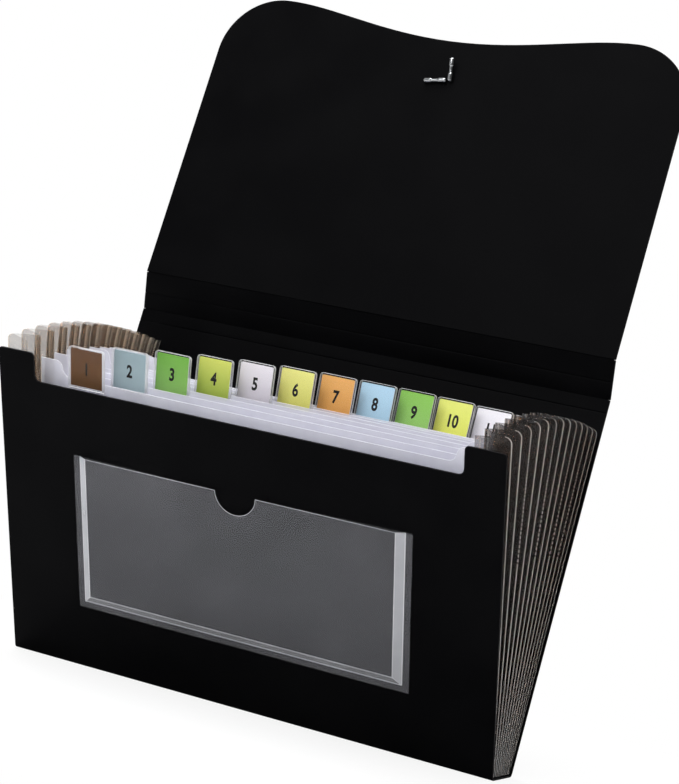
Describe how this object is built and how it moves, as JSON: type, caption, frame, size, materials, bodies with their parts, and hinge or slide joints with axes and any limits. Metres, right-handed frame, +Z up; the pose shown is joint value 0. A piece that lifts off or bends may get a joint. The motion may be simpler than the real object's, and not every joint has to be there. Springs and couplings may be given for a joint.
{
  "type": "expanding file folder",
  "caption": "Open accordion file with a fold-over lid, fanned film pockets with index tabs and a clear label pocket.",
  "frame": {"origin": "centre of the outline, on the surface that the bottom strip stands on", "axes": "+Z up, +X along the folder's width to the right, the front panel towards -Y"},
  "size_m": [0.33, 0.1976, 0.4536],
  "materials": {
    "black_sheet": "satin extruded sheet",
    "clear_film": "clear film",
    "gusset_film": "translucent smoke film",
    "divider_film": "frosted translucent film",
    "chrome": "polished",
    "card_brown": "coloured card",
    "card_grey_blue": "coloured card",
    "card_green": "coloured card",
    "card_lime": "coloured card",
    "card_lilac": "coloured card",
    "card_yellow": "coloured card",
    "card_orange": "coloured card",
    "card_sky_blue": "coloured card",
    "card_leaf_green": "coloured card",
    "card_bright_yellow": "coloured card",
    "card_white": "coloured card"
  },
  "bodies": {
    "folder": {"cover": "black_sheet", "label_pocket": "clear_film", "bellows_left": "gusset_film", "bellows_right": "gusset_film", "divider_01": "divider_film", "tab_sleeve_01": "clear_film", "tab_card_01": "card_brown", "divider_02": "divider_film", "tab_sleeve_02": "clear_film", "tab_card_02": "card_grey_blue", "divider_03": "divider_film", "tab_sleeve_03": "clear_film", "tab_card_03": "card_green", "divider_04": "divider_film", "tab_sleeve_04": "clear_film", "tab_card_04": "card_lime", "divider_05": "divider_film", "tab_sleeve_05": "clear_film", "tab_card_05": "card_lilac", "divider_06": "divider_film", "tab_sleeve_06": "clear_film", "tab_card_06": "card_yellow", "divider_07": "divider_film", "tab_sleeve_07": "clear_film", "tab_card_07": "card_orange", "divider_08": "divider_film", "tab_sleeve_08": "clear_film", "tab_card_08": "card_sky_blue", "divider_09": "divider_film", "tab_sleeve_09": "clear_film", "tab_card_09": "card_leaf_green", "divider_10": "divider_film", "tab_sleeve_10": "clear_film", "tab_card_10": "card_bright_yellow", "divider_11": "divider_film", "tab_sleeve_11": "clear_film", "tab_card_11": "card_white", "divider_12": "divider_film", "tab_sleeve_12": "clear_film", "tab_card_12": "card_orange"},
    "spine": {"flap_spine": "black_sheet"},
    "lid": {"flap": "black_sheet", "cord_tip_flat": "chrome", "cord_tip_upright": "chrome"}
  },
  "joints": [
    {"name": "spine_fold", "type": "hinge", "parent": "folder", "child": "spine", "pos_m": [0, 0.0639, 0.23031], "axis": [1, 0, 0], "range_deg": [-130, 76]},
    {"name": "flap_fold", "type": "hinge", "parent": "spine", "child": "lid", "pos_m": [0, 0.05785, 0.25456], "axis": [1, 0, 0], "range_deg": [-25, 38]}
  ]
}
